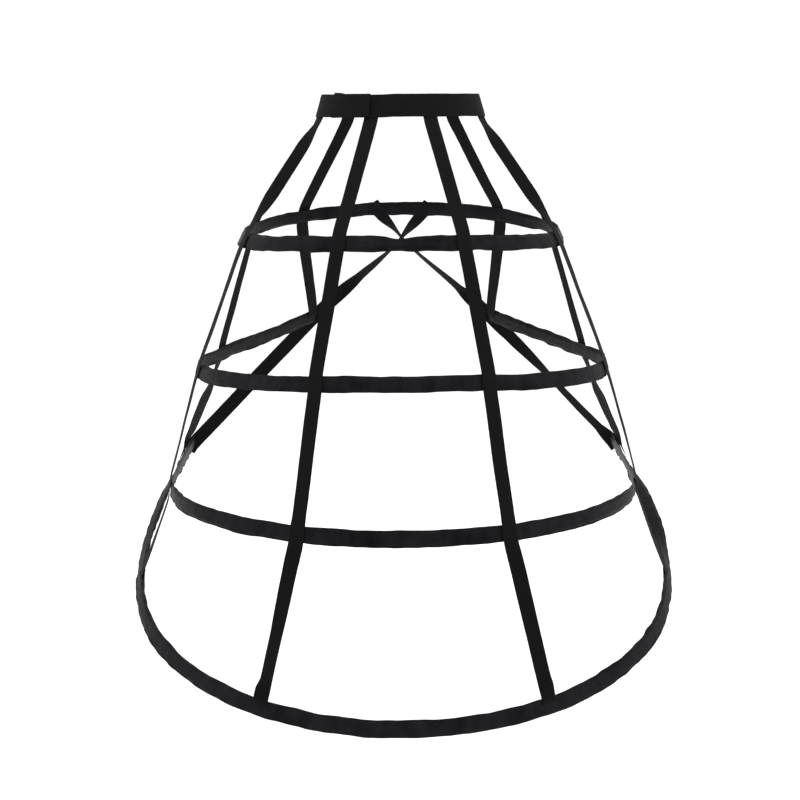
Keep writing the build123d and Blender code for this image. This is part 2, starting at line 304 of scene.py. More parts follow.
def traced(solid, planes, rounds, closed=False, layer=None, whole=0.96, spare=0):
    """The line of a band-shaped solid, from the planes that cut it in turn.

    Cuts at the ends that are narrower than the whole band are left out, and as many more as are to spare.
    """
    cuts = []
    for number, (point, normal, level, rise, facing) in enumerate(planes):
        found = outlines(solid, point, normal)
        if facing:
            found = [outline for outline in found if sum(a.dot(facing) for a, _ in outline) > 0]
        if layer and found:
            reach = [sum(a.dot(facing) for a, _ in outline) / len(outline) for outline in found]
            found = [found[reach.index(layer(number)(reach))]]
        pieces = [piece for outline in found for piece in outline]
        if len(pieces) > 3:
            cuts.append(long_side(pieces, level, rise))
    for _ in range(2):
        last = len(cuts) - 1
        widths = []
        for i, (middle, way, reach) in enumerate(cuts):
            run = (cuts[min(i + 1, last)][0] - cuts[max(i - 1, 0)][0]).normalized()
            widths.append(reach * run.cross(way).length)
        half = sorted(widths)[len(widths) // 2]
        if not closed:
            start = next(i for i, width in enumerate(widths) if width > whole * half)
            stop = len(widths) - next(i for i, width in enumerate(reversed(widths)) if width > whole * half)
            cuts = cuts[start:stop]
    if spare:
        cuts = cuts[spare:-spare]
    points = [middle for middle, way, reach in cuts]
    if not closed:
        for end, beside in ((0, 3), (-1, -4)):
            way = (points[end] - points[beside]).normalized()
            side = way.cross(cuts[end][1])
            near = [
                (v.co - points[end]).dot(way) for v in solid.verts
                if (v.co - points[end]).length < 0.03 and abs((v.co - points[end]).dot(side)) < 0.0025
            ]
            tip = points[end] + way * max(near)
            points = [tip] + points if end == 0 else points + [tip]
        cuts = cuts[:1] + cuts + cuts[-1:]
    acrosses = []
    last = len(points) - 1
    for i, (middle, way, reach) in enumerate(cuts):
        run = (points[min(i + 1, last)] - points[max(i - 1, 0)]).normalized()
        across = (way - run * way.dot(run)).normalized()
        if acrosses and across.dot(acrosses[-1]) < 0:
            across = -across
        acrosses.append(across)
    if spare:
        for end, beside, past in ((0, 1, 2), (-1, -2, -3)):
            far = (points[end] - points[beside]).length / (points[beside] - points[past]).length
            acrosses[end] = (acrosses[beside] + (acrosses[beside] - acrosses[past]) * far).normalized()
    solid.free()
    points = average(points, closed, rounds)
    acrosses = [across.normalized() for across in average(acrosses, closed, rounds)]
    return points, acrosses, half


def spread(low, high, step):
    count = max(2, ceil((high - low) / step))
    return [low + (high - low) * i / count for i in range(count + 1)]


def upright(turn):
    """A cut by the upright plane at this angle round the cage from the back."""
    facing = Vector((sin(turn), -cos(turn), 0))
    return Vector(), facing.cross(UP), facing, UP, facing


def hoop_line(number):
    """The line of a hoop's casing, from the wearer's left end, or the back seam, round to the right.

    Across the band is up.
    """
    solid = welded(f"hoop_{number}_casing")
    closed = number == 1
    tips = [v.co for v in solid.verts if v.co.y > 0.9 * max(v.co.y for v in solid.verts)]
    reach = pi if closed else max(atan2(abs(co.x), -co.y) for co in tips)
    planes = [upright(turn) for turn in spread(-reach + 0.004, reach - 0.004, 0.02)]
    points, acrosses, half = traced(solid, planes, 4, closed, spare=0 if closed else 1)
    if acrosses[len(acrosses) // 2].z < 0:
        acrosses = [-across for across in acrosses]
    if closed:
        middle = min(range(len(points)), key=lambda i: abs(points[i].x) + (points[i].y > 0))
        points = points[middle:] + points[:middle]
        acrosses = acrosses[middle:] + acrosses[:middle]
    return Line(points, acrosses, closed), half


def strap_line(name):
    """The line of a strap, from its foot up; its outward side faces away from the wearer."""
    solid = welded(name)
    low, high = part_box(name)
    heights = spread(low.z + 0.001, high.z - 0.001, 0.006)
    planes = [(UP * z, UP, Vector((1, 0, 0)), FORWARD, None) for z in heights]
    points, acrosses, half = traced(solid, planes, 2)
    line = Line(points, acrosses)
    middle, out = line.at(line.length / 2)[:2]
    if out.dot(Vector((middle.x, middle.y, 0))) < 0:
        line = Line(points, [-across for across in acrosses])
    return line, half


def band_line():
    """The waistband's line, from the outer layer's end round to the end of the layer that it hides."""
    solid = welded("waistband")
    first, last = lap_turns(solid)
    planes = [upright(-first - (2 * pi + last - first) * i / BAND_CUTS) for i in range(BAND_CUTS + 1)]
    half_way = len(planes) / 2
    points, acrosses, half = traced(solid, planes, 3, layer=lambda number: max if number < half_way else min)
    if acrosses[0].z < 0:
        acrosses = [-across for across in acrosses]
    return Line(points, acrosses), half


def lap_turns(solid):
    """The angles, left of the back's middle, at which the lap's outer layer and its hidden layer end."""
    doubled = []
    for turn in spread(0.0, 1.2, 0.01):
        facing = Vector((-sin(turn), -cos(turn), 0))
        found = outlines(solid, Vector(), facing.cross(UP))
        if sum(1 for outline in found if outline[0][0].dot(facing) > 0) > 1:
            doubled.append(turn)
    return doubled[0], doubled[-1]


# ---------- building the meshes


def ripple(s, t, seed, along, across=1.0, lean=0.0):
    """Smooth unevenness of cloth, about -1 to 1.

    along is its typical length along the band, and across its typical share across it.
    """
    return 1.6 * noise.noise(Vector((s / along + lean * t, t / across, seed)))


def tube(name, length_along, rows, section, place, closed=False):
    """A band: a grid rolled up round its section, its seam merged and its open ends filled.

    section holds (share across, side) pairs round the band, and place(s, t, side) puts a point of it.
    """
    mesh = bmesh.new()
    cloth = mesh.loops.layers.uv.new("Cloth")
    round_count = len(section)
    bmesh.ops.create_grid(mesh, x_segments=rows, y_segments=round_count, size=1)
    row_of = {v: round((v.co.x + 1) / 2 * rows) for v in mesh.verts}
    column_of = {v: round((v.co.y + 1) / 2 * round_count) for v in mesh.verts}
    marks = [0.0]
    for (t, _), (next_t, _) in zip(section, section[1:] + section[:1]):
        marks.append(marks[-1] + abs(next_t - t) * place.half)
    for face in mesh.faces:
        for loop in face.loops:
            loop[cloth].uv = (length_along * row_of[loop.vert] / rows, marks[column_of[loop.vert]])
    for vert in mesh.verts:
        row = row_of[vert] % rows if closed else row_of[vert]
        t, side = section[column_of[vert] % round_count]
        vert.co = place(length_along * row / rows, t, side)
    bmesh.ops.remove_doubles(mesh, verts=mesh.verts, dist=1e-7)
    if not closed:
        rims = [edge for edge in mesh.edges if edge.is_boundary]
        bmesh.ops.holes_fill(mesh, edges=rims, sides=0)
    bmesh.ops.recalc_face_normals(mesh, faces=mesh.faces)
    return finished(name, mesh)


def placed(name, data):
    """An object in the scene, at the origin, that holds this data."""
    made = bpy.data.objects.new(name, data)
    bpy.context.scene.collection.objects.link(made)
    return made


def meshed(name, mesh):
    """An object made of this bmesh."""
    data = bpy.data.meshes.new(name)
    mesh.to_mesh(data)
    mesh.free()
    return placed(name, data)


def finished(name, mesh):
    """A smooth piece made of this bmesh, that rides on the cage's body."""
    for face in mesh.faces:
        face.smooth = True
    piece = meshed(name, mesh)
    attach(piece, "root")
    return piece


def flat_section(shares):
    """(share across, side) pairs round a flat band, from the shares of one face, largest first."""
    return [(t, 1) for t in shares[:-1]] + [(-t, -1) for t in shares[:-1]]


CASING_SHARES = (
    1, 0.975, 0.93, 0.88, 0.82, 0.72, 0.6, 0.46, 0.3, 0.12,
    -0.12, -0.3, -0.46, -0.6, -0.72, -0.82, -0.88, -0.93, -0.975, -1,
)
STRAP_SHARES = (1, 0.98, 0.93, 0.75, 0.4, 0, -0.4, -0.75, -0.93, -0.98, -1)
BAND_SHARES = (1, 0.985, 0.95, 0.9, 0.85, 0.8, 0.6, 0.3, 0, -0.3, -0.6, -0.8, -0.85, -0.9, -0.95, -0.985, -1)
SEAM_SHARE = 0.88  # where a casing's seams run, from its middle to its edge
THREAD_STAND = 0.00008  # how far a stitch's middle stands out of the cloth
OPEN_END_EASE = 0.005  # over which the open end of a casing flattens
CASING_REACH = 0.0025  # the most that a casing may stand out of its line
GATHER_REACH = 0.024  # how far a closed casing's gathers reach from its seam
STILL_REACH = 0.012  # how far from that seam the cloth lies still
GATHER_TOP = 0.46  # how much of its upper half the gathers draw in
GATHER_FOOT = 0.03  # and of its lower half
TIP_FROM, TIP_PAST = 0.022, 0.030  # from a casing's open end, where its thicker part over the tip runs out
SEWN_GAP = 0.012  # how near a strap comes to a hoop that it is sewn to
SEWN_REACH = 0.035  # how far a seam holds a strap still
BAND_SEAM = 0.015  # from a strap's upper end to its seam on the waistband
HINGE = 0.8  # how much a back strap turns about its inner edge, not its middle


class CasingShape:
    """Where each point of a hoop's fabric tube lies."""

    def __init__(self, number, settings):
        self.line, self.half = hoop_line(number)
        self.seed = number * 17.3
        self.closed = number == 1
        self.set = settings

    def near_seam(self, s, reach):
        """1 at the gathered seam of a closed casing, falling to 0 away from it."""
        if not self.closed:
            return 0.0
        return exp(-((min(s % self.line.length, -s % self.line.length) / reach) ** 2))

    def __call__(self, s, t, side):
        middle, out, across, _ = self.line.at(s)
        kit, seed, gather = self.set, self.seed, self.near_seam(s, GATHER_REACH)
        free = 1 - self.near_seam(s, STILL_REACH)
        top = t > 0
        edge = abs(t) ** 3
        wave = ripple(s, 0.8 if top else -0.9, seed + 3, 0.024) * 0.5
        wave += ripple(s, top * 2.0, seed + 9, 0.055) * 0.9
        rise = t * self.half + kit.edge_wave * wave * edge * free
        rise *= 1 - gather * (GATHER_TOP if top else GATHER_FOOT)
        past_bone = smooth(abs(rise), kit.bone_rise, self.half)
        lift = kit.slack * past_bone * ripple(s, t, seed + 15, 0.075, 1.7)
        loose = 0.15 + 0.85 * past_bone
        lift += kit.crease * ripple(s, t, seed + 21, 0.022, 1.3, 0.5) * loose
        lift += kit.crease * 0.7 * ripple(s, t, seed + 27, 0.038, 0.8, -0.9) * loose
        lift += kit.pucker * ripple(s, t, seed + 33 + side, 0.0075, 1.4) * (0.2 + 0.8 * t * t)
        lift += 0.0009 * gather * (1 - gather) * 4 * past_bone * ripple(s, t * 0.4, seed + 41, 0.006, 2.0)
        lift *= free
        bone = 1 - smooth(abs(rise), kit.bone_rise, kit.bone_rise + 0.0035 * (1 - 0.75 * gather))
        round_edge = sqrt(max(1 - abs(t) ** 12, 0))
        seam = 0.35 * exp(-(((abs(t) - SEAM_SHARE) / 0.035) ** 2))
        swell = (kit.flat_swell * (1 - seam) + (kit.bone_swell - kit.flat_swell) * bone) * round_edge
        if not self.closed:
            left = min(s, self.line.length - s)
            swell += kit.tip_swell * bone * (1 - smooth(left, TIP_FROM, TIP_PAST))
            swell *= 0.28 + 0.72 * smooth(left, 0.001, OPEN_END_EASE)
        reach = lift + side * swell
        return middle + across * rise + out * (reach / (1 + (reach / CASING_REACH) ** 6) ** (1 / 6))


# How far each strap is turned about its own length between its seams: share from the foot up, and degrees.
TURNS = {
    "back_left": ((0.012, 22), (0.045, 66), (0.10, 62), (0.20, 42), (0.27, 14), (0.30, 0)),
    "back_right": ((0.012, -10), (0.045, -46), (0.10, -44), (0.20, -28), (0.27, -6), (0.30, 0)),
    "side_left": ((0.72, 0), (0.80, 42), (0.90, 38), (0.96, 0)),
    "side_right": ((0.72, 0), (0.80, -42), (0.90, -38), (0.96, 0)),
    "quarter_left": ((0.03, 0), (0.09, -26), (0.24, -30), (0.33, 0)),
    "quarter_right": ((0.03, 0), (0.09, 24), (0.24, 26), (0.33, 0)),
    "edge_left": ((0.62, 0), (0.72, 40), (0.86, 62), (0.95, 20)),
    "edge_right": (
        (0.03, 0), (0.10, -50), (0.28, -60), (0.44, -25), (0.50, 0),
        (0.58, 0), (0.66, -52), (0.88, -62), (0.96, -20),
    ),
}


def turned(name, part):
    """How far a strap is turned about its length at a share of it, in radians."""
    marks = ((0.0, 0), *TURNS.get(name, ()), (1.0, 0))
    for (low, first), (high, last) in zip(marks, marks[1:]):
        if low <= part <= high:
            return radians(first + (last - first) * smooth(part, low, high))
    return 0.0


class StrapShape:
    """Where each point of a strap lies."""

    def __init__(self, kind, side, settings, hoops):
        self.name = f"{kind}_{side}"
        self.line, self.half = strap_line(f"{kind}_strap_{side}")
        self.set = settings
        self.seed = 101.7 + STRAPS.index(kind) * 7.9 + SIDES.index(side) * 3.1
        near = [(self.line.nearest(hoop), number) for number, hoop in hoops.items()]
        self.seams = sorted((s, number) for (s, gap), number in near if gap < SEWN_GAP)
        self.trim = settings.trim if kind == "edge" else 0.0

    def held(self, s):
        """0 where the strap is sewn down, and 1 well away from its seams."""
        places = [seam for seam, _ in self.seams] + [self.line.length - BAND_SEAM]
        return min(1 - exp(-(((s - place) / SEWN_REACH) ** 2)) for place in places)

    def __call__(self, s, t, side):
        s = self.trim + s * (1 - self.trim / self.line.length)
        middle, out, across, run = self.line.at(s)
        turn = turned(self.name, s / self.line.length)
        if turn:
            spin = Quaternion(run, turn)
            inner = across * (self.half if across.x * middle.x < 0 else -self.half)
            if self.name.startswith("back"):
                middle = middle + (inner - spin @ inner) * HINGE
            out, across = spin @ out, spin @ across
        held = self.held(s)
        lift = self.set.drift * held * ripple(s, 0, self.seed, 0.11)
        lift += 0.0005 * held * t * ripple(s, t, self.seed + 5, 0.05)
        rise = t * self.half + 0.0004 * held * ripple(s, 3, self.seed + 9, 0.09)
        rise += 0.00012 * abs(t) ** 3 * ripple(s, t, self.seed + 13, 0.009)
        swell = self.set.thickness / 2 * sqrt(max(1 - abs(t) ** 24, 0))
        return middle + across * rise + out * (lift + side * swell)


class BandShape:
    """Where each point of the waistband lies."""

    def __init__(self, settings):
        self.line, self.half = band_line()
        self.set = settings

    def __call__(self, s, t, side):
        middle, out, across, _ = self.line.at(s)
        kit, whole = self.set, self.line.length
        loose = smooth(s, 0.05, 0.1) * (1 - smooth(s, whole - 0.12, whole - 0.06))
        wave = 0.7 * ripple(s, t > 0, 61.3, 0.07) + 0.4 * ripple(s, (t > 0) * 2, 67.9, 0.024)
        rise = t * self.half + kit.wave * wave * abs(t) ** 3
        rise += kit.end_rise * smooth(s, whole - 0.034, whole - 0.008) * (t + 1) / 2
        lift = 0.0006 * loose * ripple(s, t, 71.1, 0.09, 2.0)
        lift += 0.0002 * loose * ripple(s, t, 73.3, 0.014, 0.6)
        seam = 0.3 * exp(-(((self.half * (1 - abs(t)) - kit.seam_inset) / 0.0009) ** 2))
        swell = kit.thickness / 2 * (1 - seam) * sqrt(max(1 - abs(t) ** 30, 0))
        end = min(s, whole - s)
        swell *= sqrt(min(1, 0.25 + end / 0.0012))
        return middle + across * rise + out * (lift + side * swell)


def stitches(name, rows, settings):
    """Rows of stitches as one piece. Each row is a list of (middle, forward way, outward way)."""
    mesh = bmesh.new()
    spots = [spot for row in rows for spot in row]
    size = Matrix.Diagonal((settings.stitch / 2, settings.girth / 2, settings.girth / 2, 1))
    for first in range(0, len(spots), 40):
        few = bmesh.new()
        for middle, run, out in spots[first:first + 40]:
            run = run.normalized()
            out = (out - run * out.dot(run)).normalized()
            axes = Matrix((run, out.cross(run), out)).transposed().to_4x4()
            place = Matrix.Translation(middle) @ axes @ size
            bmesh.ops.create_icosphere(few, subdivisions=1, radius=1, matrix=place)
        batch = bpy.data.meshes.new("batch")
        few.to_mesh(batch)
        few.free()
        mesh.from_mesh(batch)
        bpy.data.meshes.remove(batch)
    piece = finished(name, mesh)
    finish(piece, bpy.data.materials["sewing_thread"])
    return piece


def stitch(shape, s, t, side, along=0.0, across=0.0):
    """A stitch's middle, forward way and outward way, from the steps before and past its middle."""
    before, after = shape(s - along, t - across, side), shape(s + along, t + across, side)
    out = shape.line.at(s)[1] * side
    return (before + after) / 2 + out * THREAD_STAND, after - before, out


def seam_row(shape, t, side, low, high, pitch):
    """Stitches along a band, at a share across its outer or its inner face."""
    row = []
    for i in range(int((high - low) / pitch)):
        s = low + (i + 0.5) * pitch
        row.append(stitch(shape, s, t, side, along=pitch * 0.3))
    return row


def edge_seams(shape, share_out, from_end, settings):
    """Rows of stitches along both edges of a band, on both its faces."""
    reach = from_end, shape.line.length - from_end
    edges = (share_out, -share_out)
    return [seam_row(shape, t, side, *reach, settings.pitch) for t in edges for side in (1, -1)]


def cross_row(shape, s, side, pitch, reach=0.82):
    """Stitches across a band, from edge to edge."""
    count = int(2 * reach * shape.half / pitch)
    row = []
    for i in range(count):
        t = reach * (2 * (i + 0.5) / count - 1)
        row.append(stitch(shape, s, t, side, across=0.3 * pitch / shape.half))
    return row


def loose_end(shape, settings, s, reach, lean):
    """A thread left long at the band's upper edge, as a row of stitches that overlap."""
    out, across, run = shape.line.at(s)[1:]
    start = shape(s, 0.94, 1)
    step = settings.stitch * 0.45
    spots = []
    for i in range(ceil(reach / step) + 1):
        far = i * step
        spots.append(start + across * far + run * lean * far * far / reach + out * 0.0006 * sin(far * 700))
    return [((a + b) / 2, b - a, out) for a, b in zip(spots, spots[1:])]


# ---------- finish


def feed(tree, node, inputs):
    """Set a node's inputs. One that is given another node's output is linked to it."""
    for name, value in inputs.items():
        if isinstance(value, bpy.types.NodeSocket):
            tree.links.new(value, node.inputs[name])
        else:
            node.inputs[name].default_value = value
    return node


def add(tree, kind, inputs=None, **settings):
    made = tree.nodes.new(kind)
    for name, value in settings.items():
        setattr(made, name, value)
    return feed(tree, made, inputs or {})


def math(tree, operation, first, second=0.0, third=0.0, clamp=False):
    inputs = {0: first, 1: second, 2: third}
    return add(tree, "ShaderNodeMath", inputs, operation=operation, use_clamp=clamp).outputs[0]


def vector_math(tree, operation, first, second):
    return add(tree, "ShaderNodeVectorMath", {0: first, 1: second}, operation=operation).outputs[0]


def noise_node(tree, where, scale, detail, distortion=0.0):
    """A smooth noise node, for its value and its colour."""
    inputs = {"Vector": where, "Scale": scale, "Detail": detail, "Distortion": distortion}
    return add(tree, "ShaderNodeTexNoise", inputs)


def mix(tree, part, first, second):
    """A colour between two others."""
    return add(tree, "ShaderNodeMix", {0: part, 6: first, 7: second}, data_type="RGBA").outputs[2]


def group(name, inputs, outputs):
    """An empty node group with these inputs and outputs: (name, kind, default) and (name, kind)."""
    tree = bpy.data.node_groups.new(name, "ShaderNodeTree")
    for label, kind, default in inputs:
        socket = tree.interface.new_socket(name=label, in_out="INPUT", socket_type=kind)
        if default is not None:
            socket.default_value = default
    for label, kind in outputs:
        tree.interface.new_socket(name=label, in_out="OUTPUT", socket_type=kind)
    return tree, tree.nodes.new("NodeGroupInput"), tree.nodes.new("NodeGroupOutput")


def place_group(tree, name, inputs):
    return add(tree, "ShaderNodeGroup", inputs, node_tree=bpy.data.node_groups[name])


FLOAT, VECTOR = "NodeSocketFloat", "NodeSocketVector"


def make_ribs():
    """Ribbed weave: rounded ribs across the band, with the yarns that cross them."""
    tree, given, result = group(
        "Ribbed weave",
        [("Vector", VECTOR, None), ("Rib", FLOAT, 0.0012), ("Yarn", FLOAT, 0.0005), ("Uneven", FLOAT, 0.3)],
        [("Height", FLOAT), ("Tone", FLOAT)],
    )
    place = add(tree, "ShaderNodeSeparateXYZ", {0: given.outputs["Vector"]})
    wander = noise_node(tree, given.outputs["Vector"], 260.0, 2.0)
    stray = math(tree, "MULTIPLY", math(tree, "SUBTRACT", wander.outputs[0], 0.5), given.outputs["Uneven"])
    along = math(tree, "ADD", math(tree, "DIVIDE", place.outputs[0], given.outputs["Rib"]), stray)
    rib = math(tree, "ABSOLUTE", math(tree, "SINE", math(tree, "MULTIPLY", along, pi)))
    half = math(tree, "MULTIPLY", math(tree, "FLOOR", along), 0.5)
    over = math(tree, "ADD", math(tree, "DIVIDE", place.outputs[1], given.outputs["Yarn"]), half)
    yarn = math(tree, "ABSOLUTE", math(tree, "SINE", math(tree, "MULTIPLY", over, pi)))
    height = math(tree, "MULTIPLY_ADD", yarn, 0.3, math(tree, "MULTIPLY", rib, 0.7))
    tree.links.new(height, result.inputs["Height"])
    # Tone: darker in the grooves between the ribs and between the yarns, which is painted shade, mixed half
    # and half with random variation from the wander noise.
    tone = math(tree, "MULTIPLY_ADD", height, 0.5, math(tree, "MULTIPLY", wander.outputs[0], 0.5))
    tree.links.new(tone, result.inputs["Tone"])


def make_satin():
    """Satin weave and crinkle: long floats of thread along the band, and the cloth's soft creases."""
    tree, given, result = group(
        "Satin weave",
        [("Vector", VECTOR, None), ("Thread", FLOAT, 0.00035), ("Crinkle", FLOAT, 0.5)],
        [("Height", FLOAT), ("Tone", FLOAT)],
    )
    place = add(tree, "ShaderNodeSeparateXYZ", {0: given.outputs["Vector"]})
    over = math(tree, "MULTIPLY", math(tree, "DIVIDE", place.outputs[1], given.outputs["Thread"]), pi)
    thread = math(tree, "ABSOLUTE", math(tree, "SINE", over))
    drawn = vector_math(tree, "MULTIPLY", given.outputs["Vector"], (1.0, 0.45, 1.0))
    crinkle = noise_node(tree, drawn, 170.0, 4.0, distortion=0.6)
    soft = noise_node(tree, drawn, 48.0, 2.0)
    both = math(tree, "ADD", crinkle.outputs[0], soft.outputs[0])
    folds = math(tree, "MULTIPLY", both, given.outputs["Crinkle"])
    height = math(tree, "MULTIPLY_ADD", thread, 0.035, folds)
    tree.links.new(height, result.inputs["Height"])
    # Tone: higher on the soft crease noise and on the thread floats. The satin uses it for painted sheen in
    # its colour and for its roughness.
    tone = math(tree, "MULTIPLY_ADD", soft.outputs[0], 0.7, math(tree, "MULTIPLY", thread, 0.3))
    tree.links.new(tone, result.inputs["Tone"])


def make_lint():
    """Sparse specks and short fibres of lint."""
    tree, given, result = group(
        "Lint",
        [("Vector", VECTOR, None), ("Scale", FLOAT, 260.0), ("Amount", FLOAT, 0.08)],
        [("Mask", FLOAT)],
    )
    bend = noise_node(tree, given.outputs["Vector"], 90.0, 1.0)
    shift = vector_math(tree, "MULTIPLY", bend.outputs["Color"], (0.01, 0.01, 0.01))
    moved = vector_math(tree, "ADD", given.outputs["Vector"], shift)
    inputs = {"Vector": moved, "Scale": given.outputs["Scale"], "Randomness": 1.0}
    cells = add(tree, "ShaderNodeTexVoronoi", inputs)
    near = math(tree, "LESS_THAN", cells.outputs["Distance"], given.outputs["Amount"])
    pick = add(tree, "ShaderNodeSeparateColor", {0: cells.outputs["Color"]})
    few = math(tree, "GREATER_THAN", pick.outputs[0], 0.8)
    tree.links.new(math(tree, "MULTIPLY", near, few), result.inputs["Mask"])


def new_material(name):
    """A material with an empty tree, its Principled shader and its output."""
    material = bpy.data.materials.new(name)
    material.use_nodes = True
    tree = material.node_tree
    tree.nodes.clear()
    shader = tree.nodes.new("ShaderNodeBsdfPrincipled")
    output = tree.nodes.new("ShaderNodeOutputMaterial")
    tree.links.new(shader.outputs[0], output.inputs[0])
    return material, tree, shader


def deepen(colour, factor):
    return tuple(min(channel * factor, 1.0) for channel in colour) + (1.0,)


def bump(tree, shader, height, depth, strength=1.0):
    made = add(tree, "ShaderNodeBump", {"Height": height, "Distance": depth, "Strength": strength})
    tree.links.new(made.outputs[0], shader.inputs["Normal"])


def cloth_place(tree):
    return add(tree, "ShaderNodeUVMap", uv_map="Cloth").outputs[0]


def object_place(tree):
    return add(tree, "ShaderNodeTexCoord").outputs["Object"]


def linted(tree, colour, where, amount):
    """A cloth's colour with a little pale lint on it."""
    lint = place_group(tree, "Lint", {"Vector": where, "Amount": amount})
    return mix(tree, math(tree, "MULTIPLY", lint.outputs[0], 0.5), colour, (0.07, 0.07, 0.075, 1.0))


def satin(settings):
    material, tree, shader = new_material("black_satin")
    where = cloth_place(tree)
    weave = place_group(tree, "Satin weave", {"Vector": where})
    # Painted sheen: the base colour runs from half to over twice the satin colour. It is lighter where the
    # soft crease noise, the thread floats and the broad patches are high, and stands in for mottled
    # highlights on the creases. The same tone also varies the roughness.
    patches = noise_node(tree, object_place(tree), 14.0, 3.0).outputs[0]
    tone = math(tree, "MULTIPLY_ADD", weave.outputs["Tone"], 0.5, math(tree, "MULTIPLY", patches, 0.5))
    painted_sheen = math(tree, "MULTIPLY", math(tree, "SUBTRACT", tone, 0.38), 4.0, clamp=True)
    colour = mix(tree, painted_sheen, deepen(settings.colour, 0.5), deepen(settings.colour, 2.2))
    feed(tree, shader, {
        "Base Color": linted(tree, colour, object_place(tree), 0.05),
        "Roughness": math(tree, "MULTIPLY_ADD", tone, 0.16, settings.roughness - 0.08),
        "Specular IOR Level": 0.035,
        "Specular Tint": (0.90, 0.95, 1.0, 1.0),
    })
    bump(tree, shader, weave.outputs["Height"], 0.0014, 0.9)
    return material


def webbing(name, colour, roughness, rib, yarn, depth, specular):
    material, tree, shader = new_material(name)
    where = cloth_place(tree)
    weave = place_group(tree, "Ribbed weave", {"Vector": where, "Rib": rib, "Yarn": yarn})
    patches = noise_node(tree, object_place(tree), 9.0, 3.0).outputs[0]
    tone = math(tree, "MULTIPLY_ADD", weave.outputs["Tone"], 0.65, math(tree, "MULTIPLY", patches, 0.35))
    # Colour: random variation from the wander noise and the patches, plus painted shade in the grooves
    # between the ribs and the yarns.
    tone_and_groove_shade = mix(tree, tone, deepen(colour, 0.55), deepen(colour, 1.6))
    feed(tree, shader, {
        "Base Color": linted(tree, tone_and_groove_shade, object_place(tree), 0.06),
        "Roughness": math(tree, "MULTIPLY_ADD", weave.outputs["Height"], 0.12, roughness - 0.06),
        "Specular IOR Level": specular,
        "Sheen Weight": 0.02,
        "Sheen Roughness": 0.5,
    })
    bump(tree, shader, weave.outputs["Height"], depth, 0.8)
    return material


def thread(settings):
    material, tree, shader = new_material("sewing_thread")
    twist = noise_node(tree, object_place(tree), 1800.0, 1.0).outputs[0]
    feed(tree, shader, {
        "Base Color": mix(tree, twist, deepen(settings.colour, 0.6), deepen(settings.colour, 1.5)),
        "Roughness": math(tree, "MULTIPLY_ADD", twist, 0.2, settings.roughness - 0.1),
        "Specular IOR Level": 0.2,
    })
    bump(tree, shader, twist, 0.0001, 0.6)
    return material


def moulded(name, colour, roughness, scale, depth, specular=0.4, metallic=0.0):
    """A moulded, coated or plated surface with a faint texture and slight variation."""
    material, tree, shader = new_material(name)
    where = object_place(tree)
    fine = noise_node(tree, where, scale, 4.0).outputs[0]
    broad = noise_node(tree, where, 30.0, 2.0).outputs[0]
    feed(tree, shader, {
        "Base Color": mix(tree, broad, deepen(colour, 0.86), deepen(colour, 1.08)),
        "Roughness": math(tree, "MULTIPLY_ADD", fine, 0.2, roughness - 0.1),
        "Metallic": metallic,
        "Specular IOR Level": specular,
    })
    bump(tree, shader, fine, depth, 0.5)
    return material


def fuzzy(name, colour, scale, depth):
    """The pile of a hook or a loop tape."""
    material, tree, shader = new_material(name)
    inputs = {"Vector": object_place(tree), "Scale": scale}
    # Painted shade: the base colour is lighter on the raised middles of the pile's cells and darker in the
    # low gaps between them.
    cells = add(tree, "ShaderNodeTexVoronoi", inputs, feature="F1").outputs["Distance"]
    feed(tree, shader, {
        "Base Color": mix(tree, cells, deepen(colour, 1.8), deepen(colour, 0.4)),
        "Roughness": 0.75,
        "Specular IOR Level": 0.2,
        "Sheen Weight": 0.05,
    })
    bump(tree, shader, math(tree, "SUBTRACT", 1.0, cells), depth, 0.9)
    return material


def finish(piece, material):
    piece.data.materials.clear()
    piece.data.materials.append(material)


# ---------- operators


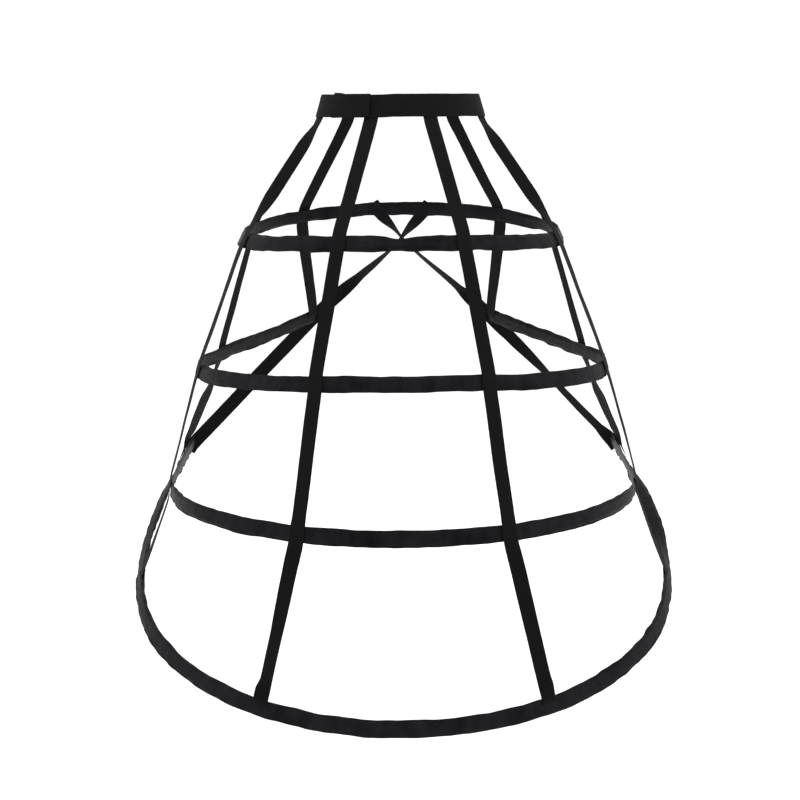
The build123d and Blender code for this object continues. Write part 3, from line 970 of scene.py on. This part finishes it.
class BuildStage(bpy.types.Operator):
    """Set up the camera, the pale floor and the soft light"""

    bl_idname = "cage.build_stage"
    bl_label = "Build Stage"

    def execute(self, context):
        kit = context.scene.cage_stage
        camera = placed("Camera", bpy.data.cameras.new("Camera"))
        camera.location = (0, -kit.distance, kit.height)
        look = Matrix.Rotation(pi / 2 - kit.tilt, 4, "X") @ Matrix.Rotation(-kit.roll, 4, "Z")
        camera.rotation_euler = look.to_euler()
        camera.data.lens = kit.lens
        camera.data.sensor_width = 36.0
        camera.data.shift_x = kit.shift
        camera.data.clip_end = 200.0
        context.scene.camera = camera
        context.scene.view_settings.view_transform = "Standard"
        self.surround(context, kit)
        self.floor(kit)
        self.lights(kit)
        return {"FINISHED"}

    def surround(self, context, kit):
        world = bpy.data.worlds.new("White surround")
        world.use_nodes = True
        light = {"Color": (1.0, 1.0, 1.0, 1.0), "Strength": kit.sky}
        feed(world.node_tree, world.node_tree.nodes["Background"], light)
        context.scene.world = world

    def floor(self, kit):
        mesh = bmesh.new()
        bmesh.ops.create_circle(mesh, cap_ends=True, segments=96, radius=kit.floor_radius)
        level = CAD_BOX[0][2] - kit.floor_gap
        bmesh.ops.translate(mesh, verts=mesh.verts, vec=(0, 0, level))
        floor = meshed("Floor", mesh)
        material, tree, shader = new_material("pale_floor")
        grain = noise_node(tree, object_place(tree), 60.0, 3.0).outputs[0]
        feed(tree, shader, {
            "Base Color": mix(tree, grain, deepen(kit.floor_colour, 0.99), deepen(kit.floor_colour, 1.01)),
            "Roughness": 0.9,
            "Specular IOR Level": 0.1,
            "Emission Color": (1.0, 1.0, 1.0, 1.0),
            "Emission Strength": kit.floor_glow,
        })
        finish(floor, material)

    def lights(self, kit):
        places = (
            ("Left softbox", (-3.2, -0.6, 0.6), 2.2, 1.0),
            ("Right softbox", (3.2, -0.6, 0.6), 2.2, 1.0),
            ("Top softbox", (0.0, -1.0, 3.2), 3.0, 1.6),
        )
        for name, place, size, power in places:
            lamp = bpy.data.lights.new(name, "AREA")
            lamp.shape = "SQUARE"
            lamp.size = size
            lamp.energy = kit.softbox * power
            light = placed(name, lamp)
            light.location = place
            aim = Vector((0, 0, -0.5)) - Vector(place)
            light.rotation_euler = aim.to_track_quat("-Z", "Y").to_euler()


class BuildCasings(bpy.types.Operator):
    """Build the puckered satin casings of the four hoops, with their seams"""

    bl_idname = "cage.build_casings"
    bl_label = "Build Casings"

    def execute(self, context):
        kit, sewing = context.scene.cage_casing, context.scene.cage_thread
        material = satin(kit)
        section = flat_section(CASING_SHARES)
        for number in HOOPS:
            shape = CasingShape(number, kit)
            whole = shape.line.length
            rows = round(whole / kit.spacing)
            piece = tube(f"hoop_{number}_cover", whole, rows, section, shape, shape.closed)
            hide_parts(f"hoop_{number}_casing")
            finish(piece, material)
            hoop_lines[number] = shape.line
            seams = edge_seams(shape, SEAM_SHARE, 0.003, sewing)
            if not shape.closed:
                for s in (0.0022, whole - 0.0022):
                    seams += [cross_row(shape, s, side, sewing.pitch * 0.8) for side in (1, -1)]
            else:
                seams += [cross_row(shape, s, 1, sewing.pitch * 0.6, 0.9) for s in (0.0015, whole - 0.0015)]
            sewn = stitches(f"hoop_{number}_stitching", seams, sewing)
        return {"FINISHED"}


class BuildStraps(bpy.types.Operator):
    """Build the ribbed webbing straps, with the stitches that hold them to the hoops"""

    bl_idname = "cage.build_straps"
    bl_label = "Build Straps"

    def execute(self, context):
        kit, sewing = context.scene.cage_webbing, context.scene.cage_thread
        material = webbing("strap_webbing", kit.colour, kit.roughness, kit.rib, 0.0006, 0.0003, 0.06)
        section = flat_section(STRAP_SHARES)
        seams = []
        for kind in STRAPS:
            for side in SIDES:
                shape = StrapShape(kind, side, kit, hoop_lines)
                whole = shape.line.length
                rows = round(whole / kit.spacing)
                piece = tube(f"{kind}_webbing_{side}", whole, rows, section, shape)
                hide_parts(f"{kind}_strap_{side}")
                finish(piece, material)
                for seam, number in shape.seams:
                    spots = (seam - 0.009, seam + 0.009) if seam > 0.02 else (0.003, 0.008)
                    face = -1 if kind == "front" and number == 2 else 1
                    seams += [cross_row(shape, s, face, sewing.pitch * 0.85) for s in spots if s < whole]
        sewn = stitches("strap_stitching", seams, sewing)
        return {"FINISHED"}


class BuildWaistband(bpy.types.Operator):
    """Build the folded waistband, its rows of stitches and the loose thread ends at its lap"""

    bl_idname = "cage.build_waistband"
    bl_label = "Build Waistband"

    def execute(self, context):
        kit, sewing = context.scene.cage_band, context.scene.cage_thread
        material = webbing("band_webbing", kit.colour, kit.roughness, 0.0008, 0.0007, 0.00018, 0.07)
        shape = BandShape(kit)
        whole = shape.line.length
        piece = tube("waistband_cloth", whole, round(whole / kit.spacing), flat_section(BAND_SHARES), shape)
        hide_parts("waistband")
        finish(piece, material)
        inset = 1 - kit.seam_inset / shape.half
        seams = edge_seams(shape, inset, 0.004, sewing)
        ends = (0.0035, 0.0465, whole - 0.0035)
        seams += [cross_row(shape, s, 1, sewing.pitch * 0.85, 0.84) for s in ends]
        seams += [loose_end(shape, sewing, *bend) for bend in ((0.004, 0.011, -0.3), (0.006, 0.007, 1.1))]
        sewn = stitches("band_stitching", seams, sewing)
        return {"FINISHED"}


class FinishFittings(bpy.types.Operator):
    """Give the bones, their tips, the joining sleeve and the closure tapes their finish"""

    bl_idname = "cage.finish_fittings"
    bl_label = "Finish Fittings"

    def execute(self, context):
        kit = context.scene.cage_fittings
        finishes = {
            "_bone": moulded("bone_coat", kit.bone_colour, 0.38, 900.0, 0.00004),
            "_tip_": moulded("tip_plastic", kit.tip_colour, 0.42, 1500.0, 0.00005),
            "_sleeve": moulded("sleeve_plating", kit.sleeve_colour, 0.32, 700.0, 0.00002, 0.5, 1.0),
            "hook_tape": fuzzy("hook_tape", kit.tape_colour, 1100.0, 0.0005),
            "loop_tape": fuzzy("loop_tape", kit.tape_colour, 800.0, 0.0006),
        }
        for name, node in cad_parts.items():
            for word, material in finishes.items():
                if word in name:
                    finish(node, material)
        return {"FINISHED"}


class MakeCloths(bpy.types.Operator):
    """Make the weaves that the cloth materials share, and the sewing thread"""

    bl_idname = "cage.make_cloths"
    bl_label = "Make Cloths"

    def execute(self, context):
        make_ribs()
        make_satin()
        make_lint()
        thread(context.scene.cage_thread)
        return {"FINISHED"}


class CagePanel(bpy.types.Panel):
    """The steps that build the cage, in order"""

    bl_idname = "VIEW3D_PT_cage"
    bl_label = "Crinoline Cage"
    bl_space_type = "VIEW_3D"
    bl_region_type = "UI"
    bl_category = "Cage"

    def draw(self, context):
        for operator in OPERATORS:
            self.layout.operator(operator.bl_idname)
        for name in SETTINGS:
            box = self.layout.box()
            group_of = getattr(context.scene, name)
            for prop in group_of.bl_rna.properties:
                if prop.identifier not in ("name", "rna_type"):
                    box.prop(group_of, prop.identifier)


OPERATORS = (BuildStage, MakeCloths, BuildCasings, BuildStraps, BuildWaistband, FinishFittings)
SETTINGS = {
    "cage_stage": StageSettings,
    "cage_casing": CasingSettings,
    "cage_webbing": WebbingSettings,
    "cage_band": BandSettings,
    "cage_thread": ThreadSettings,
    "cage_fittings": FittingSettings,
}


def register():
    for made in (*SETTINGS.values(), *OPERATORS, CagePanel):
        bpy.utils.register_class(made)
    for name, kind in SETTINGS.items():
        setattr(bpy.types.Scene, name, PointerProperty(type=kind))


def unregister():
    for name in SETTINGS:
        delattr(bpy.types.Scene, name)
    for made in (CagePanel, *reversed(OPERATORS), *SETTINGS.values()):
        bpy.utils.unregister_class(made)


def main():
    register()
    for operator in OPERATORS:
        kind, name = operator.bl_idname.split(".")
        getattr(getattr(bpy.ops, kind), name)()


if __name__ == "__main__":
    main()
